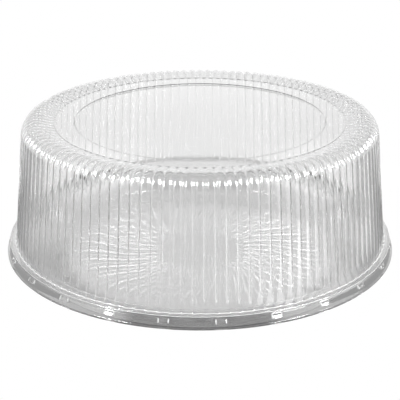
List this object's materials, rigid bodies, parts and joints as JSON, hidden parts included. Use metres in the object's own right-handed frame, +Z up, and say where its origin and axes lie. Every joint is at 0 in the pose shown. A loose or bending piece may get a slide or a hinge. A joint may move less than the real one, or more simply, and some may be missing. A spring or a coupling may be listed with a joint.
{
  "type": "cake container",
  "caption": "Round clear cake container: a shallow tray with a swirled floor, flared skirt and lip, and a fluted dome lid with a sunk top that rests on the tray's ledge and lifts straight off.",
  "frame": {"origin": "centre of the tray's foot, on the surface that it stands on", "axes": "+Z up along the axis that the lid lifts along, front towards -Y"},
  "size_m": [0.29, 0.29, 0.1093],
  "materials": {
    "tray_sheet": "clear glossy formed sheet",
    "dome_sheet": "clear glossy formed sheet"
  },
  "bodies": {
    "tray": {"base_tray": "tray_sheet"},
    "lid": {"dome_lid": "dome_sheet"}
  },
  "joints": [
    {"name": "lid_lift", "type": "slide", "parent": "tray", "child": "lid", "axis": [0, 0, 1], "range_m": [0, 0.12]}
  ]
}
